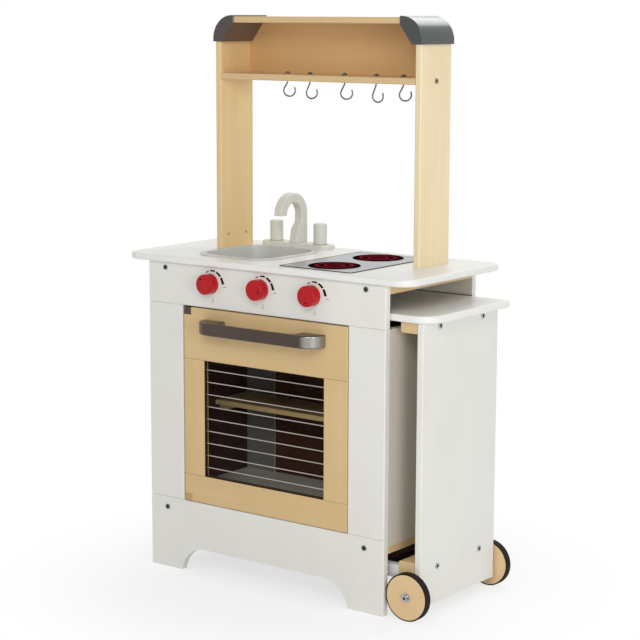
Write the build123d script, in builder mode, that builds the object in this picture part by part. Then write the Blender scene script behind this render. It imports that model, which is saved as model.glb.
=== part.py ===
from build123d import *
from math import acos, atan2, cos, degrees, hypot, radians, sin
import os

# Overall sizes of the cabinet, in millimetres
cabinet_width = 507
cabinet_depth = 268
cabinet_height = 548.5
board = 12
board_edge_round = 2

# Worktop
worktop_side_overhang = 49.5
worktop_front_overhang = 8
worktop_back_overhang = 2
worktop_corner_radius = 30
worktop_back_corner_radius = 16
worktop_edge_round = 3.5

# Front and back frames: plinth below, stiles, and a top board above
plinth_height = 128
top_board_height = 72.5
left_stile_width = 77
right_stile_width = 73.5
foot_width = 71
arch_height = 44
arch_corner_radius = 52
back_panel_thickness = 4
back_panel_tongue = 6

# Oven
oven_shelf_height = 274
oven_shelf_depth = 92
oven_shelf_thickness = 9.5
cleat_size = 12
floor_bearer_width = 48
wall_bottom = 44

# Oven door
door_gap = 1.5
door_top_gap = 2
door_stile_width = 47.5
door_bottom_rail = 48
door_top_rail = 90.5
pivot_pin_radius = 2
pivot_pin_length = 8
hinge_plate_width = 18
hinge_plate_height = 13
hinge_plate_thickness = 2
pane_thickness = 3
pane_tongue = 6
pane_setback = 7
bar_count = 9
bar_radius = 1
bar_margin = 16.5
bar_setback = 4.5
bar_socket = 5

# Door handle
handle_length = 260
handle_projection = 35
handle_height = 21
handle_bar_thickness = 9
handle_foot_length = 46
handle_end_radius = 32
handle_inner_radius = 14
handle_edge_round = 2.5
handle_below_door_top = 28.5
handle_shift = 2
handle_screw_radius = 2
handle_screw_head_radius = 4.5
handle_screw_depth = 14

# Knobs on the control panel
knob_radius = 17.5
knob_depth = 19.5
knob_front_round = 3
knob_back_round = 1
knob_pitch = 109
knob_group_shift = -3
knob_height = 519
knob_shaft_radius = 4
knob_collar_radius = 6.5
knob_collar_length = 4
knob_dot_radius = 1.9
knob_dot_orbit = 10.5
knob_dot_depth = 0.8
knob_turns = {"knob_left": 125, "knob_middle": -10, "knob_right": -80}

# Sink
sink_centre_from_left = 151.5
sink_centre_from_front = 121
sink_length = 168
sink_depth = 184
sink_corner_radius = 46
sink_rim_width = 10
sink_rim_height = 2.4
sink_rim_round = 1.2
sink_bowl_drop = 53
sink_wall = 2
sink_taper = 7
sink_floor_round = 14

# Hob
hob_right_inset = 76
hob_front_inset = 9
hob_length = 148
hob_depth = 231
hob_thickness = 2
hob_sunk = 1
burner_radius = 44
burner_centre_from_hob_left = 75
burner_first = 54
burner_second = 180
burner_thickness = 1.4

# Mixer tap set behind the sink
tap_centre_from_left = 146.5
tap_centre_from_front = 238.5
tap_base_length = 155
tap_base_depth = 35
tap_base_height = 8
tap_base_round = 3
tap_spacing = 49.4
tap_radius = 12.1
tap_height = 36.5
tap_top_round = 2
tap_pin_radius = 3
spout_width = 17.6
spout_pipe = 17.6
spout_outer_radius = 38.7
spout_height = 90.5
spout_foot_depth = 34
spout_heel_depth = 28.5
spout_heel_height = 26
spout_shoulder_height = 37
spout_bend_radius = 12
spout_edge_round = 3
spout_pin_radius = 4

# Overhead frame
overhead_height = 970
post_thickness = 12
post_width = 90
post_setback = 123.5
left_post_inset = 50.7
right_post_inset = 20.7
post_edge_round = 2.5
post_foot_hole_height = 25
post_foot_hole_spacing = 49
post_foot_hole_depth = 7
post_rail_width = 20
post_rail_height = 15.5
overhead_shelf_top = 872
overhead_board = 11
overhead_back_thickness = 9.5

# Corner caps of the overhead frame
cap_wall_side = 3.2
cap_wall_top = 2.2
cap_wall_ends = 3.2
cap_reach = 45
cap_drop = 46
cap_outer_radius = 41
cap_edge_round = 1.6
cap_socket_depth = 12
cap_foot_inside = 6
cap_lip = 1

# Hooks under the overhead shelf
hook_places = [179.5, 228.5, 302.5, 368, 423.5]
hook_turns = [37, 58, 35, 8, 40]
hook_ring_drops = [17.8, 20.5, 19.4, 22.4, 18.7]
hook_setback = 41
hook_wire_radius = 1.3
hook_ring_radius = 10
hook_ring_offset = 3.5
hook_ring_end = 33
hook_neck_drop = 4
hook_neck_radius = 5
hook_shank_end = 4.5
hook_washer_radius = 5.5
hook_washer_thickness = 1
hook_nut_radius = 4.2
hook_nut_height = 2.4

# Pull-out serving table
table_top_height = 502
table_front_gap = 2
table_back_gap = 1
table_length = 420
table_corner_radius = 38
table_back_corner_radius = 5
table_edge_round = 3
end_panel_inset = 20
end_panel_width = 225
end_panel_bottom = 20
batten_depth = 31
batten_height = 18
batten_round = 4
axle_block_top = 94
block_screw_below_top = 13
runner_top = 86
runner_height = 22
runner_thickness = 12
runner_length = 290
guide_width = 16
bearer_width = 24
bearer_from_right = 34

# Wheels of the serving table
wheel_radius = 40
wheel_cabinet_gap = 2
tyre_depth = 2.5
tyre_round = 1.2
wheel_width = 13
wheel_gap = 5
axle_from_panel = 4
axle_radius = 3
axle_sunk = 45
bolt_head_radius = 5
bolt_head_height = 3.5
bolt_socket_size = 2.6
washer_radius = 8
washer_thickness = 1.2

# Assembly screws
screw_radius = 2.5
screw_head_radius = 4.5
screw_head_height = 1.2
screw_grip = 16
screw_from_side = 39
screw_below_worktop = 9.5
panel_screw_spacing = 128

# Door catch under the oven ceiling
catch_length = 26
catch_depth = 14
catch_height = 11
strike_thickness = 0.8
catch_from_door_edge = 14

# Clearances
running_clearance = 0.05
sliding_clearance = 0.3
fitting_clearance = 0.15
hole_clearance = 0.1
swing_allowance = 0.4

# Places that follow from the sizes; the object's bounding box is centred on the origin
axle_inset = end_panel_inset + board + axle_from_panel
table_reach = wheel_cabinet_gap + wheel_radius + axle_inset
overall_length = worktop_side_overhang + cabinet_width + wheel_cabinet_gap + 2 * wheel_radius
overall_depth = handle_projection + cabinet_depth + worktop_back_overhang
left = worktop_side_overhang - overall_length / 2
right = left + cabinet_width
front = handle_projection - overall_depth / 2
back = front + cabinet_depth
inner_left = left + board
inner_right = right - board
inner_front = front + board
inner_back = back - board
middle_x = (left + right) / 2
middle_y = (front + back) / 2
frame_bottom = cabinet_height - top_board_height
oven_ceiling_bottom = frame_bottom - board
oven_floor_bottom = plinth_height - board
opening_left = left + left_stile_width
opening_right = right - right_stile_width
worktop_top = cabinet_height + board
screw_x = [left + screw_from_side, right - screw_from_side]
screw_z_top = cabinet_height - screw_below_worktop
screw_z_floor = oven_floor_bottom - board / 2


def level(z):
    return Plane.XY.offset(z)


def facing_front(y):
    return Plane.XZ.offset(-y)


def facing_side(x):
    return Plane.YZ.offset(x)


def save(piece, name):
    piece.part.label = name
    export_step(piece.part, f"parts/{name}.step")


def box_between(x_range, y_range, z_range):
    with BuildPart() as piece:
        with BuildSketch(level(z_range[0])):
            with Locations((sum(x_range) / 2, sum(y_range) / 2)):
                Rectangle(x_range[1] - x_range[0], y_range[1] - y_range[0])
        extrude(amount=z_range[1] - z_range[0])
    return piece.part


def frame_board(x_range, y_outer, outward, z_range):
    # A board of the front or back frame; outward is -1 for the front frame and 1 for the back one
    with BuildPart() as piece:
        add(box_between(x_range, sorted([y_outer, y_outer - outward * board]), z_range))
        outer_face = piece.faces().sort_by(Axis.Y)[-1 if outward > 0 else 0]
        fillet(outer_face.edges(), radius=board_edge_round)
    return piece.part


os.makedirs("parts", exist_ok=True)

# Worktop, with the sink's cut-out, the hob's recess, and the posts' and taps' holes
post_y = front + post_setback + post_width / 2
left_post_x = left + left_post_inset + post_thickness / 2
right_post_x = right - right_post_inset - post_thickness / 2
sink_x = left + sink_centre_from_left
sink_y = front + sink_centre_from_front
tap_x = left + tap_centre_from_left
tap_y = front + tap_centre_from_front
tap_places = [(tap_x - tap_spacing, tap_y), (tap_x + tap_spacing, tap_y)]
hob_x = right - hob_right_inset - hob_length / 2
hob_y = front + hob_front_inset + hob_depth / 2
bowl_length = sink_length - 2 * sink_rim_width
bowl_depth = sink_depth - 2 * sink_rim_width
bowl_radius = sink_corner_radius - sink_rim_width
worktop_length = cabinet_width + 2 * worktop_side_overhang
worktop_depth = cabinet_depth + worktop_front_overhang + worktop_back_overhang
worktop_y = (front - worktop_front_overhang + back + worktop_back_overhang) / 2

with BuildPart() as worktop:
    with BuildSketch(level(cabinet_height)):
        with Locations((middle_x, worktop_y)):
            Rectangle(worktop_length, worktop_depth)
        fillet(vertices().group_by(Axis.Y)[0], radius=worktop_corner_radius)
        fillet(vertices().group_by(Axis.Y)[-1], radius=worktop_back_corner_radius)
    extrude(amount=board)
    fillet(worktop.edges().group_by(Axis.Z)[-1], radius=worktop_edge_round)
    fillet(worktop.edges().group_by(Axis.Z)[0], radius=worktop_edge_round)
    with BuildSketch(level(cabinet_height)):
        with Locations((sink_x, sink_y)):
            RectangleRounded(bowl_length + 2 * sliding_clearance, bowl_depth + 2 * sliding_clearance,
                             bowl_radius + sliding_clearance)
        with Locations((left_post_x, post_y), (right_post_x, post_y)):
            Rectangle(post_thickness + 2 * fitting_clearance, post_width + 2 * fitting_clearance)
        with Locations((tap_x, tap_y)):
            Circle(spout_pin_radius + hole_clearance)
        with Locations(*tap_places):
            Circle(tap_pin_radius + hole_clearance)
    extrude(amount=board, mode=Mode.SUBTRACT)
    with BuildSketch(level(worktop_top)):
        with Locations((hob_x, hob_y)):
            Rectangle(hob_length + 2 * fitting_clearance, hob_depth + 2 * fitting_clearance)
    extrude(amount=-hob_sunk, mode=Mode.SUBTRACT)
save(worktop, "worktop")

# Front frame: control panel with the knobs' bearings and the door's upper pivot hole
pivot_inset = board / 2
pivot_x = opening_left + door_gap + pivot_inset
pivot_y = front + board / 2
knob_x = [middle_x + knob_group_shift + step * knob_pitch for step in (-1, 0, 1)]
screw_hole_radius = screw_radius + hole_clearance
pivot_hole_radius = pivot_pin_radius + running_clearance


def frame_screw_holes(y_outer, outward, z):
    # Screw holes through a board of the front or back frame
    with BuildPart() as holes:
        with BuildSketch(facing_front(y_outer)):
            with Locations(*[(x, z) for x in screw_x]):
                Circle(screw_hole_radius)
        extrude(amount=outward * board)
    return holes.part


def pivot_hole(z, depth):
    # The bearing of one of the door's pivot pins
    with BuildPart() as hole:
        with BuildSketch(level(z)):
            with Locations((pivot_x, pivot_y)):
                Circle(pivot_hole_radius)
        extrude(amount=depth)
    return hole.part


def plinth(y_outer, outward):
    # The lowest frame board, cut away to an arch between its two feet
    arch_span = cabinet_width - 2 * foot_width
    arch_drop = 2 * arch_corner_radius + board
    with BuildPart() as piece:
        add(frame_board((left, right), y_outer, outward, (0, plinth_height)))
        with BuildSketch(facing_front(y_outer)):
            with Locations((middle_x, arch_height - arch_drop / 2)):
                RectangleRounded(arch_span, arch_drop, arch_corner_radius)
        extrude(amount=outward * board, mode=Mode.SUBTRACT)
        add(frame_screw_holes(y_outer, outward, screw_z_floor), mode=Mode.SUBTRACT)
    return piece.part


def frame_stiles(y_outer, outward):
    # The two upright boards of the front or back frame
    z_range = (plinth_height, frame_bottom)
    with BuildPart() as piece:
        for x_range in ((left, opening_left), (opening_right, right)):
            add(box_between(x_range, sorted([y_outer, y_outer - outward * board]), z_range))
        fillet(piece.edges().group_by(Axis.Y)[-1 if outward > 0 else 0], radius=board_edge_round)
    return piece.part


with BuildPart() as control_panel:
    add(frame_board((left, right), front, -1, (frame_bottom, cabinet_height)))
    with BuildSketch(facing_front(front)):
        with Locations(*[(x, knob_height) for x in knob_x]):
            Circle(knob_shaft_radius + running_clearance)
    extrude(amount=-board, mode=Mode.SUBTRACT)
    add(pivot_hole(frame_bottom, pivot_pin_length), mode=Mode.SUBTRACT)
    add(frame_screw_holes(front, -1, screw_z_top), mode=Mode.SUBTRACT)
save(control_panel, "control_panel")

with BuildPart() as front_stiles:
    add(frame_stiles(front, -1))
save(front_stiles, "front_stiles")

with BuildPart() as front_plinth:
    add(plinth(front, -1))
    add(pivot_hole(plinth_height, -pivot_pin_length), mode=Mode.SUBTRACT)
save(front_plinth, "front_plinth")

# Back frame, with a thin panel let into its grooves
panel_groove = box_between((opening_left - back_panel_tongue, opening_right + back_panel_tongue),
                           (back - board / 2 - back_panel_thickness / 2 - fitting_clearance,
                            back - board / 2 + back_panel_thickness / 2 + fitting_clearance),
                           (plinth_height - back_panel_tongue, frame_bottom + back_panel_tongue))
with BuildPart() as back_plinth:
    add(plinth(back, 1))
    add(panel_groove, mode=Mode.SUBTRACT)
save(back_plinth, "back_plinth")

with BuildPart() as back_top_board:
    add(frame_board((left, right), back, 1, (frame_bottom, cabinet_height)))
    add(frame_screw_holes(back, 1, screw_z_top), mode=Mode.SUBTRACT)
    add(panel_groove, mode=Mode.SUBTRACT)
save(back_top_board, "back_top_board")

with BuildPart() as back_stiles:
    add(frame_stiles(back, 1))
    add(panel_groove, mode=Mode.SUBTRACT)
save(back_stiles, "back_stiles")

with BuildPart() as back_panel:
    panel_margin = back_panel_tongue - fitting_clearance
    with BuildSketch(facing_front(back - board / 2 - back_panel_thickness / 2)):
        with Locations(((opening_left + opening_right) / 2, (plinth_height + frame_bottom) / 2)):
            Rectangle(opening_right - opening_left + 2 * panel_margin,
                      frame_bottom - plinth_height + 2 * panel_margin)
    extrude(amount=-back_panel_thickness)
save(back_panel, "back_panel")

# Walls, floor and ceiling of the oven
inner_span = (inner_front, inner_back)
with BuildPart() as left_wall:
    add(box_between((left, inner_left), inner_span, (wall_bottom, cabinet_height)))
save(left_wall, "left_wall")

with BuildPart() as right_wall:
    add(box_between((inner_right, right), inner_span, (oven_floor_bottom, frame_bottom)))
save(right_wall, "right_wall")

with BuildPart() as oven_ceiling:
    add(box_between((inner_left, inner_right), inner_span, (oven_ceiling_bottom, frame_bottom)))
save(oven_ceiling, "oven_ceiling")


def end_grain_holes(z):
    # Screw holes into the front and back ends of a board or rail behind the frames
    with BuildPart() as holes:
        for y, inward in ((inner_front, -1), (inner_back, 1)):
            with BuildSketch(facing_front(y)):
                with Locations(*[(x, z) for x in screw_x]):
                    Circle(screw_hole_radius)
            extrude(amount=inward * (screw_grip + hole_clearance))
    return holes.part


with BuildPart() as oven_floor:
    add(box_between((inner_left, inner_right), inner_span, (oven_floor_bottom, plinth_height)))
save(oven_floor, "oven_floor")

with BuildPart() as floor_bearers:
    for x_range in ((inner_left, inner_left + floor_bearer_width), (right - floor_bearer_width, right)):
        add(box_between(x_range, inner_span, (oven_floor_bottom - board, oven_floor_bottom)))
    add(end_grain_holes(screw_z_floor), mode=Mode.SUBTRACT)
save(floor_bearers, "floor_bearers")

shelf_front = inner_back - oven_shelf_depth
shelf_bottom = oven_shelf_height - oven_shelf_thickness
with BuildPart() as oven_shelf:
    add(box_between((inner_left + sliding_clearance, inner_right - sliding_clearance),
                    (shelf_front, inner_back), (shelf_bottom, oven_shelf_height)))
    fillet(oven_shelf.edges().filter_by(Axis.X).group_by(Axis.Y)[0], radius=board_edge_round)
save(oven_shelf, "oven_shelf")

with BuildPart() as shelf_cleats:
    with BuildSketch(level(shelf_bottom)):
        for cleat_x in (inner_left + cleat_size / 2, inner_right - cleat_size / 2):
            with Locations((cleat_x, inner_back - oven_shelf_depth / 2)):
                Rectangle(cleat_size, oven_shelf_depth - 2 * cleat_size)
    extrude(amount=-cleat_size)
save(shelf_cleats, "shelf_cleats")

# Rails under the worktop that carry the posts
rail_bottom = cabinet_height - post_rail_height
left_rail = (left_post_x - post_thickness / 2 - post_rail_width, left_post_x - post_thickness / 2)
right_rail = (right_post_x - post_thickness / 2 - post_rail_width, right_post_x - post_thickness / 2)
edge_rail = (right_post_x + post_thickness / 2, right)
with BuildPart() as post_rails:
    with BuildSketch(level(rail_bottom)):
        for rail in (left_rail, right_rail, edge_rail):
            with Locations((sum(rail) / 2, middle_y)):
                Rectangle(rail[1] - rail[0], inner_back - inner_front)
    extrude(amount=post_rail_height)
    add(end_grain_holes(screw_z_top), mode=Mode.SUBTRACT)
save(post_rails, "post_rails")

# Sink: a tapered bowl hung from a rounded rim
def tapered_bowl(shrink, top, bottom):
    # A solid with the bowl's outline, made smaller all round by shrink
    with BuildPart() as piece:
        with BuildSketch(level(top)):
            with Locations((sink_x, sink_y)):
                RectangleRounded(bowl_length - 2 * shrink, bowl_depth - 2 * shrink, bowl_radius - shrink)
        extrude(amount=bottom - top, taper=sink_taper)
        fillet(piece.edges().group_by(Axis.Z)[0], radius=sink_floor_round - shrink)
    return piece.part


bowl_bottom = worktop_top - sink_bowl_drop
with BuildPart() as sink_basin:
    with BuildSketch(level(worktop_top)):
        with Locations((sink_x, sink_y)):
            RectangleRounded(sink_length, sink_depth, sink_corner_radius)
    extrude(amount=sink_rim_height)
    fillet(sink_basin.edges().group_by(Axis.Z)[-1], radius=sink_rim_round)
    add(tapered_bowl(0, worktop_top, bowl_bottom))
    add(tapered_bowl(sink_wall, worktop_top + sink_rim_height, bowl_bottom + sink_wall), mode=Mode.SUBTRACT)
save(sink_basin, "sink_basin")

# Hob plate, with the two hotplates let into it
burner_places = [(hob_x - hob_length / 2 + burner_centre_from_hob_left, front + hob_front_inset + along)
                 for along in (burner_first, burner_second)]
hob_top = worktop_top - hob_sunk + hob_thickness
burner_bottom = hob_top - burner_thickness / 2
with BuildPart() as hob_plate:
    with BuildSketch(level(worktop_top - hob_sunk)):
        with Locations((hob_x, hob_y)):
            RectangleRounded(hob_length, hob_depth, board_edge_round)
    extrude(amount=hob_thickness)
    with BuildSketch(level(burner_bottom)):
        with Locations(*burner_places):
            Circle(burner_radius + fitting_clearance)
    extrude(amount=burner_thickness, mode=Mode.SUBTRACT)
save(hob_plate, "hob_plate")

with BuildPart() as hob_burners:
    with BuildSketch(level(burner_bottom)):
        with Locations(*burner_places):
            Circle(burner_radius)
    extrude(amount=burner_thickness)
    chamfer(hob_burners.edges().group_by(Axis.Z)[-1], length=burner_thickness / 4)
save(hob_burners, "hob_burners")

# Tap set: a base, two turning taps and a swinging spout
tap_base_top = worktop_top + tap_base_height
with BuildPart() as tap_base:
    with BuildSketch(level(worktop_top)):
        with Locations((tap_x, tap_y)):
            SlotOverall(tap_base_length, tap_base_depth)
    extrude(amount=tap_base_height)
    fillet(tap_base.edges().group_by(Axis.Z)[-1], radius=tap_base_round)
    with BuildSketch(level(worktop_top)):
        with Locations((tap_x, tap_y)):
            Circle(spout_pin_radius + running_clearance)
        with Locations(*tap_places):
            Circle(tap_pin_radius + running_clearance)
    extrude(amount=tap_base_height, mode=Mode.SUBTRACT)
save(tap_base, "faucet_base")

turning_bottom = tap_base_top + sliding_clearance
for tap_name, (x, y) in zip(("faucet_tap_left", "faucet_tap_right"), tap_places):
    with BuildPart() as tap:
        with BuildSketch(level(turning_bottom)):
            with Locations((x, y)):
                Circle(tap_radius)
        extrude(amount=tap_height)
        fillet(tap.edges().group_by(Axis.Z)[-1], radius=tap_top_round)
        with BuildSketch(level(cabinet_height)):
            with Locations((x, y)):
                Circle(tap_pin_radius)
        extrude(amount=turning_bottom - cabinet_height)
    save(tap, tap_name)

# Spout: a crook with a wide foot, drawn from the side and softened along its edges
spout_back = tap_y + spout_foot_depth / 2
spout_crown = tap_base_top + spout_height
crook_y = spout_back - spout_outer_radius
crook_z = spout_crown - spout_outer_radius
crook_inner = spout_outer_radius - spout_pipe
foot_front = spout_back - spout_foot_depth
with BuildPart() as faucet_spout:
    with BuildSketch(facing_side(tap_x - spout_width / 2)):
        with BuildLine():
            Polyline((spout_back, crook_z), (spout_back, turning_bottom), (foot_front, turning_bottom))
            FilletPolyline((foot_front, turning_bottom),
                           (spout_back - spout_heel_depth, turning_bottom + spout_heel_height),
                           (spout_back - spout_pipe, turning_bottom + spout_shoulder_height),
                           (spout_back - spout_pipe, crook_z), radius=spout_bend_radius)
            inside = CenterArc((crook_y, crook_z), crook_inner, 0, 180)
            Line(inside @ 1, (crook_y - spout_outer_radius, crook_z))
            CenterArc((crook_y, crook_z), spout_outer_radius, 180, -180)
        make_face()
    extrude(amount=spout_width)
    level_faces = faucet_spout.faces().filter_by(Axis.Z)
    fillet(faucet_spout.faces().filter_by(Axis.X).edges() - level_faces.edges(), radius=spout_edge_round)
    with BuildSketch(level(cabinet_height)):
        with Locations((tap_x, tap_y)):
            Circle(spout_pin_radius)
    extrude(amount=turning_bottom - cabinet_height)
save(faucet_spout, "faucet_spout")

# Overhead frame: two posts, a shelf, a back panel and a top board
cap_top = overhead_height + cap_wall_top
cap_bottom = cap_top - cap_drop
post_top = cap_bottom + cap_socket_depth
post_front = front + post_setback
post_back = post_front + post_width
shelf_left = left_post_x + post_thickness / 2
shelf_right = right_post_x - post_thickness / 2
top_board_bottom = overhead_height - overhead_board
overhead_shelf_bottom = overhead_shelf_top - overhead_board
overhead_screw_z = overhead_shelf_top - overhead_board / 2
foot_hole_z = worktop_top + post_foot_hole_height
foot_hole_points = [(post_y + side * post_foot_hole_spacing / 2, foot_hole_z) for side in (-1, 1)]

for post_name, post_x, outer_sign in (("left_post", left_post_x, -1), ("right_post", right_post_x, 1)):
    with BuildPart() as post:
        with BuildSketch(level(rail_bottom)):
            with Locations((post_x, post_y)):
                Rectangle(post_thickness, post_width)
        extrude(amount=post_top - rail_bottom)
        fillet(post.edges().filter_by(Axis.Z), radius=post_edge_round)
        with BuildSketch(facing_side(post_x - post_thickness / 2)):
            with Locations((post_y, overhead_screw_z)):
                Circle(screw_hole_radius)
        extrude(amount=post_thickness, mode=Mode.SUBTRACT)
        with BuildSketch(facing_side(post_x - outer_sign * post_thickness / 2)):
            with Locations(*foot_hole_points):
                Circle(screw_hole_radius)
        extrude(amount=outer_sign * post_foot_hole_depth, mode=Mode.SUBTRACT)
    save(post, post_name)

overhead_back_front = post_back - overhead_back_thickness
hook_points = [(left + place, post_front + hook_setback) for place in hook_places]
with BuildPart() as overhead_shelf:
    add(box_between((shelf_left, shelf_right), (post_front, post_back),
                    (overhead_shelf_bottom, overhead_shelf_top)))
    fillet(overhead_shelf.edges().filter_by(Axis.X).group_by(Axis.Y)[0], radius=board_edge_round)
    with BuildSketch(level(overhead_shelf_bottom)):
        with Locations(*hook_points):
            Circle(hook_wire_radius + hole_clearance)
    extrude(amount=overhead_board, mode=Mode.SUBTRACT)
    for end_x, inward in ((shelf_left, 1), (shelf_right, -1)):
        with BuildSketch(facing_side(end_x)):
            with Locations((post_y, overhead_screw_z)):
                Circle(screw_hole_radius)
        extrude(amount=inward * (screw_grip + hole_clearance), mode=Mode.SUBTRACT)
save(overhead_shelf, "overhead_shelf")

with BuildPart() as overhead_back:
    add(box_between((shelf_left, shelf_right), (overhead_back_front, post_back),
                    (overhead_shelf_top, top_board_bottom)))
save(overhead_back, "overhead_back_panel")

left_cap_outer = left_post_x - post_thickness / 2 - cap_wall_side
right_cap_outer = right_post_x + post_thickness / 2 + cap_wall_side
board_left = left_cap_outer + cap_reach - cap_socket_depth
board_right = right_cap_outer - cap_reach + cap_socket_depth
with BuildPart() as top_board:
    add(box_between((board_left, board_right), (post_front, post_back), (top_board_bottom, overhead_height)))
    fillet(top_board.edges().filter_by(Axis.X), radius=post_edge_round)
save(top_board, "top_board")


back_panel_slot = box_between((shelf_left, shelf_right),
                              (overhead_back_front - fitting_clearance, post_back + fitting_clearance),
                              (overhead_shelf_top, top_board_bottom + fitting_clearance))


def corner_cap(outer_x, inward, post_x):
    # A moulded corner with a quarter-round back, a slanting inner face and sockets for post and board
    cap_front = post_front - cap_wall_ends
    cap_length = post_width + 2 * cap_wall_ends
    centre = (outer_x + inward * cap_outer_radius, cap_top - cap_outer_radius)
    inner_x = outer_x + inward * cap_reach
    foot_x = post_x + inward * (post_thickness / 2 + cap_foot_inside)
    with BuildPart() as piece:
        with BuildSketch(facing_front(cap_front)):
            with BuildLine():
                outer = Line((outer_x, cap_bottom), (outer_x, centre[1]))
                crown = CenterArc(centre, cap_outer_radius, 180 if inward > 0 else 0, -90 * inward)
                Polyline(crown @ 1, (inner_x, cap_top), (inner_x, top_board_bottom - cap_lip),
                         (foot_x, cap_bottom), outer @ 0)
            make_face()
        extrude(amount=-cap_length)
        fillet(piece.faces().filter_by(Plane.XZ).edges(), radius=cap_edge_round)
        with BuildSketch(level(cap_bottom)):
            with Locations((post_x, post_y)):
                Rectangle(post_thickness + 2 * fitting_clearance, post_width + 2 * fitting_clearance)
        extrude(amount=cap_socket_depth + fitting_clearance, mode=Mode.SUBTRACT)
        with BuildSketch(facing_side(inner_x)):
            with Locations((post_y, overhead_height - overhead_board / 2)):
                Rectangle(post_width + 2 * fitting_clearance, overhead_board + 2 * fitting_clearance)
        extrude(amount=-inward * (cap_socket_depth + fitting_clearance), mode=Mode.SUBTRACT)
        add(back_panel_slot, mode=Mode.SUBTRACT)
    return piece.part


with BuildPart() as left_corner_cap:
    add(corner_cap(left_cap_outer, 1, left_post_x))
save(left_corner_cap, "left_corner_cap")

with BuildPart() as right_corner_cap:
    add(corner_cap(right_cap_outer, -1, right_post_x))
save(right_corner_cap, "right_corner_cap")

# Hooks: a bent wire whose shank passes up through the shelf and is held by a washer and a nut
neck = (0, overhead_shelf_bottom - hook_neck_drop)
nut_bottom = overhead_shelf_top + hook_washer_thickness
shank_top = overhead_shelf_top + hook_shank_end


def hook_wire(place, turn, drop):
    # The shank, a bend below the shelf, and an open ring whose centre lies the drop below the shelf
    across = (cos(radians(turn)), sin(radians(turn)), 0)
    centre = (hook_ring_offset, overhead_shelf_bottom - drop)
    reach = hypot(neck[0] - centre[0], neck[1] - centre[1])
    ring_start = degrees(atan2(neck[1] - centre[1], neck[0] - centre[0]) + acos(hook_ring_radius / reach))
    ring_point = (centre[0] + hook_ring_radius * cos(radians(ring_start)),
                  centre[1] + hook_ring_radius * sin(radians(ring_start)))
    with BuildPart() as piece:
        with BuildLine(Plane(origin=(*place, 0), x_dir=across, z_dir=(across[1], -across[0], 0))) as wire:
            FilletPolyline((0, shank_top), neck, ring_point, radius=hook_neck_radius)
            CenterArc(centre, hook_ring_radius, ring_start, 360 + hook_ring_end - ring_start)
        with BuildSketch(Plane(origin=wire.line @ 0, z_dir=wire.line % 0)):
            Circle(hook_wire_radius)
        sweep()
    return piece.part


for number, (place, turn, drop) in enumerate(zip(hook_points, hook_turns, hook_ring_drops), 1):
    with BuildPart() as hook:
        add(hook_wire(place, turn, drop))
        with BuildSketch(level(overhead_shelf_top)):
            with Locations(place):
                Circle(hook_washer_radius)
                Circle(hook_wire_radius + hole_clearance, mode=Mode.SUBTRACT)
        extrude(amount=hook_washer_thickness)
        with BuildSketch(level(nut_bottom)):
            with Locations(place):
                RegularPolygon(hook_nut_radius, 6)
                Circle(hook_wire_radius + hole_clearance, mode=Mode.SUBTRACT)
        extrude(amount=hook_nut_height)
    save(hook, f"hook_{number}")

# Knobs: a round dial with a sunk dot, a shaft through the panel and a snap collar behind it
for name, x in zip(knob_turns, knob_x):
    with BuildPart() as knob:
        knob_face = front - sliding_clearance
        with BuildSketch(facing_front(knob_face)):
            with Locations((x, knob_height)):
                Circle(knob_radius)
        extrude(amount=knob_depth)
        fillet(knob.edges().group_by(Axis.Y)[0], radius=knob_front_round)
        fillet(knob.edges().group_by(Axis.Y)[-1], radius=knob_back_round)
        dot_angle = radians(knob_turns[name])
        dot_place = (x + knob_dot_orbit * cos(dot_angle), knob_height + knob_dot_orbit * sin(dot_angle))
        with BuildSketch(facing_front(knob_face - knob_depth)):
            with Locations(dot_place):
                Circle(knob_dot_radius)
        extrude(amount=-knob_dot_depth, mode=Mode.SUBTRACT)
        with BuildSketch(facing_front(knob_face)):
            with Locations((x, knob_height)):
                Circle(knob_shaft_radius)
        extrude(amount=-(board + 2 * sliding_clearance))
        with BuildSketch(facing_front(inner_front + sliding_clearance)):
            with Locations((x, knob_height)):
                Circle(knob_collar_radius)
        extrude(amount=-knob_collar_length)
    save(knob, name)

# Oven door: a grooved frame round a tinted pane, with bars let into its stiles
door_left = opening_left + door_gap
door_right = opening_right - door_gap
door_bottom = plinth_height + door_gap
door_top = frame_bottom - door_top_gap
window_left = door_left + door_stile_width
window_right = door_right - door_stile_width
window_bottom = door_bottom + door_bottom_rail
window_top = door_top - door_top_rail
pane_y = front + pane_setback
door_front_round = board / 3
door_back_round = pivot_inset + swing_allowance


def door_blank(x_range, z_range):
    # A length of the door's board, its hinge edge rounded so that it swings clear of the frame
    with BuildPart() as piece:
        add(box_between(x_range, (front, front + board), z_range))
        if x_range[0] == door_left:
            front_edge = piece.edges().filter_by(Axis.Z).group_by(Axis.X)[0].sort_by(Axis.Y)[0]
            fillet(front_edge, radius=door_front_round)
            back_edge = piece.edges().filter_by(Axis.Z).group_by(Axis.X)[0].sort_by(Axis.Y)[-1]
            fillet(back_edge, radius=door_back_round)
        if x_range[1] == door_right:
            fillet(piece.edges().filter_by(Axis.Z).group_by(Axis.X)[-1], radius=board_edge_round)
    return piece.part


pane_groove = box_between((window_left - pane_tongue, window_right + pane_tongue),
                          (pane_y - fitting_clearance, pane_y + pane_thickness + fitting_clearance),
                          (window_bottom - pane_tongue, window_top + pane_tongue))
hinge_right = door_left + hinge_plate_width
hinge_zones = {"top": (door_top - hinge_plate_height, door_top),
               "bottom": (door_bottom, door_bottom + hinge_plate_height)}


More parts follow.
